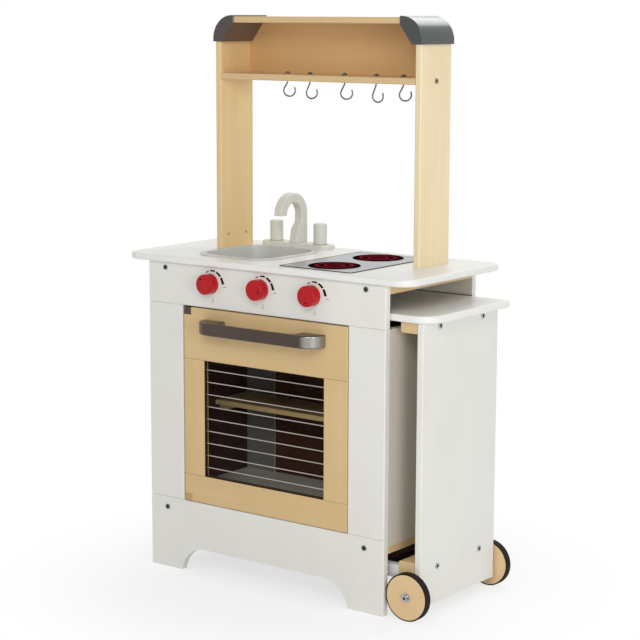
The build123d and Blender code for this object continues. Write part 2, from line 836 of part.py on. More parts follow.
def hinge_angle(zone, fit):
    # An angle hinge: one leg on the door's front, the other on its end; fit widens it to its own seat
    low, high = hinge_zones[zone]
    leg_bottom = high - hinge_plate_thickness if zone == "top" else low
    with BuildPart() as piece:
        add(box_between((door_left, hinge_right + fit), (front, front + hinge_plate_thickness + fit),
                        (low - fit, high + fit)))
        add(box_between((door_left, hinge_right + fit), (front, front + board),
                        (leg_bottom - fit, leg_bottom + hinge_plate_thickness + fit)))
        add(door_blank((door_left, window_right), (low - fit, high + fit)), mode=Mode.INTERSECT)
    return piece.part


handle_middle_x = (window_left + window_right) / 2 + handle_shift
handle_middle_z = door_top - handle_below_door_top
foot_x = [handle_middle_x + side * (handle_length / 2 - handle_foot_length / 2) for side in (-1, 1)]

with BuildPart() as door_top_piece:
    add(door_blank((door_left, door_right), (window_top, door_top)))
    add(pane_groove, mode=Mode.SUBTRACT)
    add(hinge_angle("top", fitting_clearance), mode=Mode.SUBTRACT)
    with BuildSketch(facing_front(front)):
        with Locations(*[(x, handle_middle_z) for x in foot_x]):
            Circle(handle_screw_radius + hole_clearance)
    extrude(amount=-board, mode=Mode.SUBTRACT)
save(door_top_piece, "door_top_rail")

with BuildPart() as door_bottom_piece:
    add(door_blank((door_left, door_right), (door_bottom, window_bottom)))
    add(pane_groove, mode=Mode.SUBTRACT)
    add(hinge_angle("bottom", fitting_clearance), mode=Mode.SUBTRACT)
save(door_bottom_piece, "door_bottom_rail")

bar_pitch = (window_top - window_bottom - 2 * bar_margin) / (bar_count - 1)
bar_heights = [window_bottom + bar_margin + index * bar_pitch for index in range(bar_count)]
bar_points = [(front + bar_setback, z) for z in bar_heights]
for stile_name, x_range, inner_x, inward in (
        ("door_left_stile", (door_left, window_left), window_left, -1),
        ("door_right_stile", (window_right, door_right), window_right, 1)):
    with BuildPart() as stile:
        add(door_blank(x_range, (window_bottom, window_top)))
        add(pane_groove, mode=Mode.SUBTRACT)
        with BuildSketch(facing_side(inner_x)):
            with Locations(*bar_points):
                Circle(bar_radius + fitting_clearance)
        extrude(amount=inward * bar_socket, mode=Mode.SUBTRACT)
    save(stile, stile_name)

with BuildPart() as window_bars:
    with BuildSketch(facing_side(window_left - bar_socket + fitting_clearance)):
        with Locations(*bar_points):
            Circle(bar_radius)
    extrude(amount=window_right - window_left + 2 * bar_socket - 2 * fitting_clearance)
save(window_bars, "window_bars")

pane_edge = pane_tongue - fitting_clearance
with BuildPart() as window_pane:
    add(box_between((window_left - pane_edge, window_right + pane_edge),
                    (pane_y, pane_y + pane_thickness), (window_bottom - pane_edge, window_top + pane_edge)))
save(window_pane, "window_pane")

# Door handle: a bow with rounded ends, cut away behind its bar
handle_bottom = handle_middle_z - handle_height / 2
with BuildPart() as finger_gap:
    with BuildSketch(level(handle_bottom)):
        with Locations((handle_middle_x, front - (handle_projection - handle_bar_thickness) / 2)):
            Rectangle(handle_length - 2 * handle_foot_length, handle_projection - handle_bar_thickness)
        fillet(vertices().group_by(Axis.Y)[0], radius=handle_inner_radius)
    extrude(amount=handle_height)

with BuildPart() as door_handle:
    with BuildSketch(level(handle_bottom)):
        with Locations((handle_middle_x, front - handle_projection / 2)):
            Rectangle(handle_length, handle_projection)
        fillet(vertices().group_by(Axis.Y)[0], radius=handle_end_radius)
    extrude(amount=handle_height)
    add(finger_gap.part, mode=Mode.SUBTRACT)
    fillet(door_handle.edges().group_by(Axis.Z)[-1] + door_handle.edges().group_by(Axis.Z)[0],
           radius=handle_edge_round)
    with BuildSketch(facing_front(front)):
        with Locations(*[(x, handle_middle_z) for x in foot_x]):
            Circle(handle_screw_radius + hole_clearance)
    extrude(amount=handle_screw_depth, mode=Mode.SUBTRACT)
save(door_handle, "door_handle")

with BuildPart() as handle_screws:
    with BuildSketch(facing_front(inner_front)):
        with Locations(*[(x, handle_middle_z) for x in foot_x]):
            Circle(handle_screw_radius)
    extrude(amount=board + handle_screw_depth - hole_clearance)
    with BuildSketch(facing_front(inner_front)):
        with Locations(*[(x, handle_middle_z) for x in foot_x]):
            Circle(handle_screw_head_radius)
    extrude(amount=-screw_head_height)
save(handle_screws, "handle_screws")

# Hinge angles with their pivot pins, and the strike plate inside the free edge
strike_x = door_right - catch_from_door_edge - catch_length / 2
strike_z = oven_ceiling_bottom - catch_height / 2


with BuildPart() as door_fittings:
    for zone, pin_start, pin_length in (("top", door_top, pivot_pin_length),
                                        ("bottom", door_bottom, -pivot_pin_length)):
        add(hinge_angle(zone, 0))
        with BuildSketch(level(pin_start)):
            with Locations((pivot_x, pivot_y)):
                Circle(pivot_pin_radius)
        extrude(amount=pin_length)
    with BuildSketch(facing_front(inner_front)):
        with Locations((strike_x, strike_z)):
            Rectangle(catch_length, catch_height)
    extrude(amount=-strike_thickness)
save(door_fittings, "door_fittings")

catch_front = inner_front + strike_thickness + sliding_clearance
with BuildPart() as door_catch:
    add(box_between((strike_x - catch_length / 2, strike_x + catch_length / 2),
                    (catch_front, catch_front + catch_depth),
                    (oven_ceiling_bottom - catch_height, oven_ceiling_bottom)))
save(door_catch, "door_catch")

# Pull-out serving table: top, end panel, battens and the runners under the oven floor
table_underside = table_top_height - board
table_front = inner_front + table_front_gap
table_back = inner_back - table_back_gap
table_right = right + table_reach
table_left = table_right - table_length
table_middle_y = (table_front + table_back) / 2
with BuildPart() as table_top:
    with BuildSketch(level(table_underside)):
        with Locations(((table_left + table_right) / 2, table_middle_y)):
            Rectangle(table_length, table_back - table_front)
        fillet(vertices().group_by(Axis.X)[-1].sort_by(Axis.Y)[0], radius=table_corner_radius)
        fillet(vertices().group_by(Axis.Y)[-1].sort_by(Axis.X)[-1], radius=table_back_corner_radius)
    extrude(amount=board)
    fillet(table_top.edges().group_by(Axis.Z)[-1] + table_top.edges().group_by(Axis.Z)[0],
           radius=table_edge_round)
save(table_top, "table_top")

panel_outer = table_right - end_panel_inset
panel_inner = panel_outer - board
panel_span = (table_middle_y - end_panel_width / 2, table_middle_y + end_panel_width / 2)
panel_screw_y = [table_middle_y - panel_screw_spacing / 2, table_middle_y + panel_screw_spacing / 2]
batten_screw_z = table_underside - batten_height / 2
block_screw_z = axle_block_top - block_screw_below_top
panel_screw_points = [(y, z) for y in panel_screw_y for z in (batten_screw_z, block_screw_z)]
with BuildPart() as table_end_panel:
    add(box_between((panel_inner, panel_outer), panel_span, (end_panel_bottom, table_underside)))
    fillet(table_end_panel.edges().filter_by(Axis.Z), radius=board_edge_round)
    with BuildSketch(facing_side(panel_outer)):
        with Locations(*panel_screw_points):
            Circle(screw_hole_radius)
    extrude(amount=-board, mode=Mode.SUBTRACT)
save(table_end_panel, "table_end_panel")


def cross_batten(z_range, seated_low):
    # A batten across the table, screwed to the end panel, its free edge rounded
    with BuildPart() as piece:
        add(box_between((panel_inner - batten_depth, panel_inner), panel_span, z_range))
        free_edges = piece.edges().filter_by(Axis.Y).group_by(Axis.X)[0].sort_by(Axis.Z)
        fillet(free_edges[-1 if seated_low else 0], radius=batten_round)
        with BuildSketch(facing_side(panel_inner)):
            with Locations(*[(y, z) for y, z in panel_screw_points if z_range[0] < z < z_range[1]]):
                Circle(screw_hole_radius)
        extrude(amount=-(screw_grip + hole_clearance), mode=Mode.SUBTRACT)
    return piece.part


with BuildPart() as table_batten:
    add(cross_batten((table_underside - batten_height, table_underside), False))
save(table_batten, "table_batten")

axle_x = panel_inner - axle_from_panel
axle_ends = [panel_span[0], panel_span[1]]
with BuildPart() as axle_block:
    add(cross_batten((end_panel_bottom, axle_block_top), True))
    for end_y, inward in zip(axle_ends, (-1, 1)):
        with BuildSketch(facing_front(end_y)):
            with Locations((axle_x, wheel_radius)):
                Circle(axle_radius + hole_clearance)
        extrude(amount=inward * axle_sunk, mode=Mode.SUBTRACT)
save(axle_block, "axle_block")

runner_right = panel_inner - batten_depth
runner_left = runner_right - runner_length
runner_places = [panel_span[0] + runner_thickness / 2, panel_span[1] - runner_thickness / 2]
with BuildPart() as table_runners:
    for runner_y in runner_places:
        with BuildSketch(level(runner_top - runner_height)):
            with Locations(((runner_left + runner_right) / 2, runner_y)):
                Rectangle(runner_length, runner_thickness)
        extrude(amount=runner_height)
    tie_y = runner_places[1] - runner_places[0] - runner_thickness
    with BuildSketch(level(runner_top - runner_height)):
        with Locations((runner_left + runner_thickness / 2, sum(runner_places) / 2)):
            Rectangle(runner_thickness, tie_y)
    extrude(amount=runner_height)
save(table_runners, "table_runners")

# Guides for the table: strips on the oven ceiling, and a bearer under the runners
guide_top = table_underside - sliding_clearance
bearer_top = runner_top - runner_height - sliding_clearance
guide_places = [inner_front + guide_width / 2, inner_back - guide_width / 2]
bearer_x = right - bearer_from_right - bearer_width / 2
with BuildPart() as table_guides:
    with BuildSketch(level(frame_bottom)):
        for guide_y in guide_places:
            with Locations(((inner_left + inner_right) / 2, guide_y)):
                Rectangle(inner_right - inner_left, guide_width)
    extrude(amount=guide_top - frame_bottom)
    with BuildSketch(level(bearer_top)):
        with Locations((bearer_x, middle_y)):
            Rectangle(bearer_width, inner_back - inner_front)
    extrude(amount=-board)
save(table_guides, "table_guides")

# Wheels: plywood discs with rubber tyres, each running on its own bolt
front_wheel_back = axle_ends[0] - wheel_gap
rear_wheel_back = axle_ends[1] + wheel_gap + wheel_width
disc_radius = wheel_radius - tyre_depth
for wheel_name, wheel_face in (("front_wheel", front_wheel_back), ("rear_wheel", rear_wheel_back)):
    with BuildPart() as disc:
        with BuildSketch(facing_front(wheel_face)):
            with Locations((axle_x, wheel_radius)):
                Circle(disc_radius)
                Circle(axle_radius + running_clearance, mode=Mode.SUBTRACT)
        extrude(amount=wheel_width)
    save(disc, f"{wheel_name}_disc")
    with BuildPart() as tyre:
        with BuildSketch(facing_front(wheel_face)):
            with Locations((axle_x, wheel_radius)):
                Circle(wheel_radius)
        extrude(amount=wheel_width)
        fillet(tyre.edges(), radius=tyre_round)
        with BuildSketch(facing_front(wheel_face)):
            with Locations((axle_x, wheel_radius)):
                Circle(disc_radius)
        extrude(amount=wheel_width, mode=Mode.SUBTRACT)
    save(tyre, f"{wheel_name}_tyre")

# Fasteners of the table: panel screws, and the wheels' bolts with washers and spacers
with BuildPart() as table_fasteners:
    with BuildSketch(facing_side(panel_outer)):
        with Locations(*panel_screw_points):
            Circle(screw_head_radius)
    extrude(amount=screw_head_height)
    with BuildSketch(facing_side(panel_outer)):
        with Locations(*panel_screw_points):
            Circle(screw_radius)
    extrude(amount=-(board + screw_grip))
    for end_y, outward in zip(axle_ends, (1, -1)):
        wheel_near = wheel_gap - sliding_clearance
        wheel_far = wheel_gap + wheel_width + sliding_clearance
        with BuildSketch(facing_front(end_y)):
            with Locations((axle_x, wheel_radius)):
                Circle(axle_radius)
        extrude(amount=outward * wheel_far)
        with BuildSketch(facing_front(end_y)):
            with Locations((axle_x, wheel_radius)):
                Circle(axle_radius)
        extrude(amount=-outward * (axle_sunk - hole_clearance))
        with BuildSketch(facing_front(end_y)):
            with Locations((axle_x, wheel_radius)):
                Circle(bolt_head_radius)
        extrude(amount=outward * wheel_near)
        with BuildSketch(facing_front(end_y - outward * wheel_far)):
            with Locations((axle_x, wheel_radius)):
                Circle(washer_radius)
        extrude(amount=outward * washer_thickness)
        with BuildSketch(facing_front(end_y - outward * (wheel_far + washer_thickness))):
            with Locations((axle_x, wheel_radius)):
                Circle(bolt_head_radius)
                RegularPolygon(bolt_socket_size, 6, mode=Mode.SUBTRACT)
        extrude(amount=outward * bolt_head_height)
save(table_fasteners, "table_fasteners")

# Assembly screws of the cabinet and the overhead shelf
with BuildPart() as cabinet_screws:
    frame_points = [(x, z) for x in screw_x for z in (screw_z_top, screw_z_floor)]
    for y_outer, outward in ((front, 1), (back, -1)):
        with BuildSketch(facing_front(y_outer)):
            with Locations(*frame_points):
                Circle(screw_head_radius)
        extrude(amount=outward * screw_head_height)
        with BuildSketch(facing_front(y_outer)):
            with Locations(*frame_points):
                Circle(screw_radius)
        extrude(amount=-outward * (board + screw_grip))
    for post_x, outward in ((left_post_x, -1), (right_post_x, 1)):
        post_face = post_x + outward * post_thickness / 2
        with BuildSketch(facing_side(post_face)):
            with Locations((post_y, overhead_screw_z)):
                Circle(screw_head_radius)
        extrude(amount=outward * screw_head_height)
        with BuildSketch(facing_side(post_face)):
            with Locations((post_y, overhead_screw_z)):
                Circle(screw_radius)
        extrude(amount=-outward * (post_thickness + screw_grip))
save(cabinet_screws, "cabinet_screws")
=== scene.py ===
from math import cos, pi, radians, sin

import bmesh
import bpy
from mathutils import Matrix, Vector


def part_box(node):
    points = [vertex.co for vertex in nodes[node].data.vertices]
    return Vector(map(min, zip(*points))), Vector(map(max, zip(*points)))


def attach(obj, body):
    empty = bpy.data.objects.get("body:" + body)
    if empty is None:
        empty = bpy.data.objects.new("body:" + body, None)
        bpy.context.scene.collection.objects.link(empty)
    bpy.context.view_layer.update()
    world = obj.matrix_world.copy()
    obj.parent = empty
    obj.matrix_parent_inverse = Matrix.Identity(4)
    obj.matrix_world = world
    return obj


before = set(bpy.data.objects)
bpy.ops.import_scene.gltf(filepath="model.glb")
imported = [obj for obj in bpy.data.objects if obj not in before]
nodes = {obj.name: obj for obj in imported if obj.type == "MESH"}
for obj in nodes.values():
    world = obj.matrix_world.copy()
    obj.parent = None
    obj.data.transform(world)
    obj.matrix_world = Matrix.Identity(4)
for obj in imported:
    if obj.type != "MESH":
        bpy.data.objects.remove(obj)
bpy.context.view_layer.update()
scene = bpy.context.scene
mm = 0.001
X, Y, Z = (1.0, 0.0, 0.0), (0.0, 1.0, 0.0), (0.0, 0.0, 1.0)
leftwards, forwards, downwards = (-1.0, 0.0, 0.0), (0.0, -1.0, 0.0), (0.0, 0.0, -1.0)


# Helpers for materials

# Where the Mix node keeps its factor and its sockets for colours
mix_factor, mix_first, mix_second, mix_result = 0, 6, 7, 2
node_spacing = 180


def linear(red, green, blue):
    # A screen colour of 0 to 255 as the linear colour that Blender works in
    def channel(value):
        value = value / 255
        return value / 12.92 if value <= 0.04045 else ((value + 0.055) / 1.055) ** 2.4
    return (channel(red), channel(green), channel(blue), 1.0)


class Nodes:
    # A short way to add nodes to one tree and to join them
    def __init__(self, tree):
        self.tree = tree
        self.count = 0

    def add(self, kind, label=None, **settings):
        node = self.tree.nodes.new(kind)
        node.location = (self.count * node_spacing, 0)
        self.count += 1
        if label:
            node.label = label
        for key, value in settings.items():
            setattr(node, key, value)
        return node

    def join(self, source, target):
        self.tree.links.new(source, target)

    def give(self, socket, value):
        # Joins the socket to another one, or sets its value
        if isinstance(value, bpy.types.NodeSocket):
            self.join(value, socket)
        else:
            socket.default_value = value

    def feed(self, node, **inputs):
        # Fills sockets by name, with underscores in place of spaces
        for key, value in inputs.items():
            self.give(node.inputs[key.replace("_", " ")], value)
        return node

    def math(self, operation, first, second=0.0):
        node = self.add("ShaderNodeMath", operation=operation)
        self.give(node.inputs[0], first)
        self.give(node.inputs[1], second)
        return node.outputs[0]

    def vector(self, operation, first, second, label=None):
        node = self.add("ShaderNodeVectorMath", label, operation=operation)
        self.give(node.inputs[0], first)
        self.give(node.inputs[1], second)
        return node.outputs

    def ramp(self, value, low, high):
        # 0 below low, 1 above high, and a smooth step between
        node = self.add("ShaderNodeMapRange", interpolation_type="SMOOTHSTEP")
        self.feed(node, Value=value, From_Min=low, From_Max=high)
        return node.outputs[0]

    def mix(self, factor, first, second):
        node = self.add("ShaderNodeMix", data_type="RGBA")
        for number, value in ((mix_factor, factor), (mix_first, first), (mix_second, second)):
            self.give(node.inputs[number], value)
        return node.outputs[mix_result]

    def noise(self, vector, scale, detail, roughness):
        node = self.add("ShaderNodeTexNoise")
        self.feed(node, Vector=vector, Scale=scale, Detail=detail, Roughness=roughness)
        return node.outputs[0]

    def seen(self):
        # 1 for rays that show what they meet, 0 for rays that only carry its light
        rays = self.add("ShaderNodeLightPath").outputs
        bent = self.math("MAXIMUM", rays["Is Glossy Ray"], rays["Is Transmission Ray"])
        return self.math("MAXIMUM", rays["Is Camera Ray"], bent)


def new_group(name, inputs, outputs):
    # A shader node group; inputs and outputs are (name, socket type, default) and (name, socket type)
    tree = bpy.data.node_groups.new(name, "ShaderNodeTree")
    for socket_name, kind, default in inputs:
        socket = tree.interface.new_socket(socket_name, in_out="INPUT", socket_type=kind)
        if default is not None:
            socket.default_value = default
    for socket_name, kind in outputs:
        tree.interface.new_socket(socket_name, in_out="OUTPUT", socket_type=kind)
    build = Nodes(tree)
    return tree, build, build.add("NodeGroupInput").outputs, build.add("NodeGroupOutput").inputs


finish_outputs = [("Color", "NodeSocketColor"), ("Roughness", "NodeSocketFloat"),
                  ("Height", "NodeSocketFloat")]


def wood_group():
    # Rotary-cut birch: pale bands along the grain, fine dark pores and plies on the edges
    grain_pull, ply_pair = 0.94, 2.4 * mm
    broad_share, band_share, cloud_share = 0.45, 0.3, 0.3
    deep_below, pale_above = 0.42, 0.76
    pore_start, pore_full, pore_strength = 0.58, 0.78, 0.07
    ply_start, ply_full, ply_strength = -0.2, 0.5, 0.42
    edge_below, face_above = 0.3, 0.7
    least_rough, band_rough = 0.36, 0.14
    pore_height, band_height = 0.5, 0.5
    tree, n, given, result = new_group("birch_ply", [
        ("Place", "NodeSocketVector", None), ("Facing", "NodeSocketVector", None),
        ("Along", "NodeSocketVector", X), ("Through", "NodeSocketVector", Y),
        ("Shift", "NodeSocketFloat", 0.0), ("Pale", "NodeSocketColor", linear(236, 212, 168)),
        ("Deep", "NodeSocketColor", linear(206, 172, 120)),
        ("Edge", "NodeSocketColor", linear(176, 138, 92))], finish_outputs)
    along = n.vector("DOT_PRODUCT", given["Place"], given["Along"], "run of the grain")["Value"]
    pull = n.add("ShaderNodeVectorMath", "grain direction", operation="SCALE")
    n.join(given["Along"], pull.inputs[0])
    n.join(n.math("MULTIPLY", along, -grain_pull), pull.inputs["Scale"])
    pulled = n.vector("ADD", given["Place"], pull.outputs[0], "grain space")[0]
    shift = n.add("ShaderNodeCombineXYZ")
    for axis in "XYZ":
        n.join(given["Shift"], shift.inputs[axis])
    grain = n.vector("ADD", pulled, shift.outputs[0], "own stretch of veneer")[0]
    broad = n.noise(grain, scale=16.0, detail=2.0, roughness=0.5)
    bands = n.noise(grain, scale=95.0, detail=3.0, roughness=0.6)
    pores = n.noise(grain, scale=850.0, detail=2.0, roughness=0.6)
    cloud = n.noise(given["Place"], scale=7.0, detail=2.0, roughness=0.5)
    tone = n.math("ADD", n.math("MULTIPLY", broad, broad_share), n.math("MULTIPLY", bands, band_share))
    tone = n.math("ADD", tone, n.math("MULTIPLY", cloud, cloud_share))
    face = n.mix(n.ramp(tone, deep_below, pale_above), given["Deep"], given["Pale"])
    dark_pores = n.math("MULTIPLY", n.ramp(pores, pore_start, pore_full), pore_strength)
    face = n.mix(dark_pores, face, given["Edge"])
    across = n.vector("DOT_PRODUCT", given["Place"], given["Through"], "through the plies")["Value"]
    plies = n.math("SINE", n.math("MULTIPLY", across, 2 * pi / ply_pair))
    dark_plies = n.math("MULTIPLY", n.ramp(plies, ply_start, ply_full), ply_strength)
    facing = n.vector("DOT_PRODUCT", given["Facing"], given["Through"], "edge or face")["Value"]
    on_edge = n.math("SUBTRACT", 1.0, n.ramp(n.math("ABSOLUTE", facing), edge_below, face_above))
    edge = n.mix(dark_plies, given["Pale"], given["Edge"])
    n.join(n.mix(on_edge, face, edge), result["Color"])
    n.join(n.math("ADD", n.math("MULTIPLY", bands, band_rough), least_rough), result["Roughness"])
    height = n.math("ADD", n.math("MULTIPLY", pores, pore_height), n.math("MULTIPLY", bands, band_height))
    n.join(height, result["Height"])
    return tree


def paint_group():
    # Lacquer or moulded plastic: a slight unevenness of tone, gloss and surface
    tone_below, shade_above, smear_middle = 0.35, 0.7, 0.5
    tree, n, given, result = new_group("even_finish", [
        ("Place", "NodeSocketVector", None), ("Tone", "NodeSocketColor", linear(240, 239, 236)),
        ("Shade", "NodeSocketColor", linear(228, 226, 221)), ("Gloss", "NodeSocketFloat", 0.3),
        ("Spread", "NodeSocketFloat", 0.08), ("Ripple", "NodeSocketFloat", 260.0)], finish_outputs)
    cloud = n.noise(given["Place"], scale=9.0, detail=3.0, roughness=0.55)
    n.join(n.mix(n.ramp(cloud, tone_below, shade_above), given["Tone"], given["Shade"]), result["Color"])
    smear = n.noise(given["Place"], scale=38.0, detail=4.0, roughness=0.6)
    uneven = n.math("MULTIPLY", n.math("SUBTRACT", smear, smear_middle), given["Spread"])
    n.join(n.math("ADD", uneven, given["Gloss"]), result["Roughness"])
    ripple = n.add("ShaderNodeTexNoise", "spray texture")
    n.feed(ripple, Vector=given["Place"], Scale=given["Ripple"])
    n.join(ripple.outputs[0], result["Height"])
    return tree


def ring_group():
    # Masks of one burner's printed rings: the warm zone inside the black rim, and the bright coils in it
    blur = 0.8
    tree, n, given, result = new_group("burner_rings", [
        ("Place", "NodeSocketVector", None), ("Centre", "NodeSocketVector", None)],
        [("Zone", "NodeSocketFloat"), ("Coil", "NodeSocketFloat")])
    radius = n.vector("DISTANCE", given["Place"], given["Centre"])["Value"]

    def ring(middle, half):
        away = n.math("ABSOLUTE", n.math("SUBTRACT", radius, middle * mm))
        return n.math("SUBTRACT", 1.0, n.ramp(away, (half - blur) * mm, (half + blur) * mm))
    n.join(n.math("MAXIMUM", ring(middle=30, half=5), ring(middle=12, half=8)), result["Zone"])
    n.join(n.math("MAXIMUM", ring(middle=30.5, half=1.2), ring(middle=16.5, half=1.1)), result["Coil"])
    return tree


def side_group():
    # Mask of the faces that look in the given direction
    tree, n, given, result = new_group("board_side", [
        ("Facing", "NodeSocketVector", None), ("Direction", "NodeSocketVector", X),
        ("Start", "NodeSocketFloat", 0.6), ("Full", "NodeSocketFloat", 0.8)],
        [("Mask", "NodeSocketFloat")])
    facing = n.vector("DOT_PRODUCT", given["Facing"], given["Direction"], "this side or not")["Value"]
    n.join(n.ramp(facing, given["Start"], given["Full"]), result["Mask"])
    return tree


WOOD, PAINT, BURNER, SIDE = wood_group(), paint_group(), ring_group(), side_group()
bump_distance = 0.2 * mm


def start_material(name):
    material = bpy.data.materials.new(name)
    material.use_nodes = True
    n = Nodes(material.node_tree)
    shader = material.node_tree.nodes["Principled BSDF"]
    return material, n, shader, n.add("ShaderNodeTexCoord").outputs


def place_group(n, tree, **values):
    group = n.add("ShaderNodeGroup")
    group.node_tree = tree
    return n.feed(group, **values).outputs


def finish_surface(n, shader, outputs, depth):
    # Colour, roughness and, where depth isn't 0, a bump of the group's height
    n.feed(shader, Base_Color=outputs["Color"], Roughness=outputs["Roughness"])
    if depth:
        bump = n.add("ShaderNodeBump")
        n.feed(bump, Height=outputs["Height"], Strength=depth, Distance=bump_distance)
        n.join(bump.outputs[0], shader.inputs["Normal"])


def birch(name, along, through, shift, pale=(226, 198, 148), deep=(214, 184, 132), edge=(168, 130, 86)):
    material, n, shader, coords = start_material(name)
    outputs = place_group(n, WOOD, Place=coords["Object"], Facing=coords["Normal"], Along=along,
                          Through=through, Shift=shift, Pale=linear(*pale), Deep=linear(*deep),
                          Edge=linear(*edge))
    finish_surface(n, shader, outputs, depth=0.08)
    n.feed(shader, Coat_Weight=0.15, Coat_Roughness=0.35, Specular_IOR_Level=0.35)
    return material


def painted(name, tone, shade, gloss, spread=0.08, ripple=260.0, depth=0.05, coat=0.0, metallic=0.0,
            coat_roughness=0.1, specular=0.5, sides=()):
    # sides lists each direction that has another tone, the tone and, if it differs, where the change lies
    usual_change = (0.6, 0.8)
    material, n, shader, coords = start_material(name)
    outputs = place_group(n, PAINT, Place=coords["Object"], Tone=linear(*tone), Shade=linear(*shade),
                          Gloss=gloss, Spread=spread, Ripple=ripple)
    finish_surface(n, shader, outputs, depth)
    colour = outputs["Color"]
    for direction, side_tone, *change in sides:
        start, full = change or usual_change
        side = place_group(n, SIDE, Facing=coords["Normal"], Direction=direction, Start=start, Full=full)
        colour = n.mix(side["Mask"], colour, linear(*side_tone))
    n.feed(shader, Base_Color=colour, Coat_Weight=coat, Coat_Roughness=coat_roughness, Metallic=metallic,
           Specular_IOR_Level=specular)
    return material


def burner_print(name, centres):
    # Black print with a warm zone and bright coils round each centre
    material, n, shader, coords = start_material(name)
    outputs = place_group(n, PAINT, Place=coords["Object"], Tone=linear(20, 12, 14),
                          Shade=linear(26, 16, 18), Gloss=0.5, Spread=0.1, Ripple=300.0)
    rings = [place_group(n, BURNER, Place=coords["Object"], Centre=centre) for centre in centres]
    zone = n.math("MAXIMUM", *[ring["Zone"] for ring in rings])
    coil = n.math("MAXIMUM", *[ring["Coil"] for ring in rings])
    colour = n.mix(zone, outputs["Color"], linear(74, 12, 22))
    colour = n.mix(coil, colour, linear(160, 42, 60))
    n.feed(shader, Base_Color=colour, Roughness=outputs["Roughness"], Specular_IOR_Level=0.0)
    return material


def tinted_pane(name):
    # A nearly clear pane whose gloss is slightly uneven
    smear_start, smear_full, least_rough, smear_rough = 0.4, 0.8, 0.03, 0.04
    material, n, shader, coords = start_material(name)
    smear = n.noise(coords["Object"], scale=24.0, detail=3.0, roughness=0.5)
    smears = n.math("MULTIPLY", n.ramp(smear, smear_start, smear_full), smear_rough)
    rough = n.math("ADD", smears, least_rough)
    n.feed(shader, Base_Color=linear(22, 10, 6), Alpha=0.05, Specular_IOR_Level=0.2, Roughness=rough)
    return material


def hinge_plates(name, split_height):
    # One fitting finish in two tones by height: dark brown above the split as painted shade, plain wood
    # colour below it
    material, n, shader, coords = start_material(name)
    outputs = place_group(n, PAINT, Place=coords["Object"], Tone=linear(92, 70, 62),
                          Shade=linear(78, 58, 52), Gloss=0.42, Spread=0.1, Ripple=400.0)
    finish_surface(n, shader, outputs, depth=0.06)
    height = n.add("ShaderNodeSeparateXYZ")
    n.join(coords["Object"], height.inputs[0])
    below = n.math("LESS_THAN", height.outputs["Z"], split_height)
    colour = n.mix(below, outputs["Color"], linear(190, 160, 112))
    n.feed(shader, Base_Color=colour, Specular_IOR_Level=0.3)
    return material


# White lacquer; the sides that are named get other tones that are painted shade: dark brown, tan and beige
# on inner faces, plain board darkened as shade, and greys on white faces that lie in shade
lacquer, lacquer_shade = (234, 233, 227), (231, 230, 223)
shaded_board_brown, shaded_board_beige = (66, 41, 33), (168, 156, 138)


def lacquered(name, *sides):
    return painted(name, lacquer, lacquer_shade, 0.36, coat=0.12, specular=0.4, sides=sides)


white = lacquered("white_lacquer")
white_front = lacquered("white_lacquer_front", (Y, shaded_board_brown))
white_back = lacquered("white_lacquer_back", (forwards, shaded_board_brown))
white_panel = lacquered("white_lacquer_panel", (Y, (164, 132, 106)))
# The back stiles are white; their inner face is painted grey as the shade inside the oven
white_stiles = lacquered("white_lacquer_stiles", (forwards, (146, 147, 142)))
# The board across the back is white on both sides; its inner face is painted off-white as shade in the slot
white_rail = lacquered("white_lacquer_rail", (forwards, (222, 219, 206)))
white_left_wall = lacquered("white_lacquer_left_wall", (X, shaded_board_brown))
# The right wall is white; its outer face is painted grey-beige as shade in the gap beside the table, its
# inner face dark brown as shade in the oven
white_right_wall = lacquered("white_lacquer_right_wall", (leftwards, shaded_board_brown), (X, (212, 207, 194)))
white_ceiling = lacquered("white_lacquer_ceiling", (downwards, shaded_board_brown), (Z, shaded_board_brown))
white_end_panel = lacquered("white_lacquer_end_panel", (leftwards, shaded_board_beige))
white_top = painted("white_gloss_lacquer", (240, 240, 236), (235, 235, 230), 0.32, spread=0.0, depth=0.0)

# Moulded parts: plastic, coated plastic and rubber
# Both corner caps are one grey plastic: the left is painted darker and browner as shade and a reflection of
# the wood, the right lighter as light, and each cap's sloping inner face is painted lighter as light falling
# on it
shaded_left_cap = painted("grey_metallic_left", (70, 61, 58), (62, 54, 51), 0.34, ripple=1800.0, depth=0.1,
                   metallic=0.5, coat=0.7, coat_roughness=0.15, specular=0.3,
                   sides=[((0.8, 0.0, -0.6), (108, 99, 96))])
lit_right_cap = painted("grey_metallic_right", (66, 70, 69), (57, 61, 60), 0.32, ripple=1800.0, depth=0.1,
                    metallic=0.5, coat=0.75, coat_roughness=0.2, specular=0.3,
                    sides=[((-0.8, 0.0, -0.6), (96, 102, 101))])
# Dark grey metal handle; the faces of its right end that turn to the right and front are painted silver as a
# highlight
handle_grey_painted_highlight = painted("handle_metallic", (84, 73, 68), (76, 66, 61), 0.28, ripple=1500.0, depth=0.08,
                      metallic=0.9, sides=[((0.83, -0.55, 0.0), (156, 156, 152), 0.6, 0.9)])
red = painted("red_gloss", (184, 12, 24), (176, 9, 20), 0.3, coat=0.12, depth=0.02, specular=0.18)
tap_grey = painted("tap_plastic", (220, 221, 212), (212, 213, 204), 0.38, ripple=700.0, depth=0.05)
sink_grey = painted("sink_plastic", (202, 203, 200), (192, 193, 190), 0.34, ripple=700.0, depth=0.05)
off_white = painted("catch_plastic", (226, 224, 218), (214, 212, 206), 0.4)
rubber = painted("tyre_rubber", (34, 28, 26), (24, 20, 19), 0.7, ripple=900.0, depth=0.25, specular=0.15)

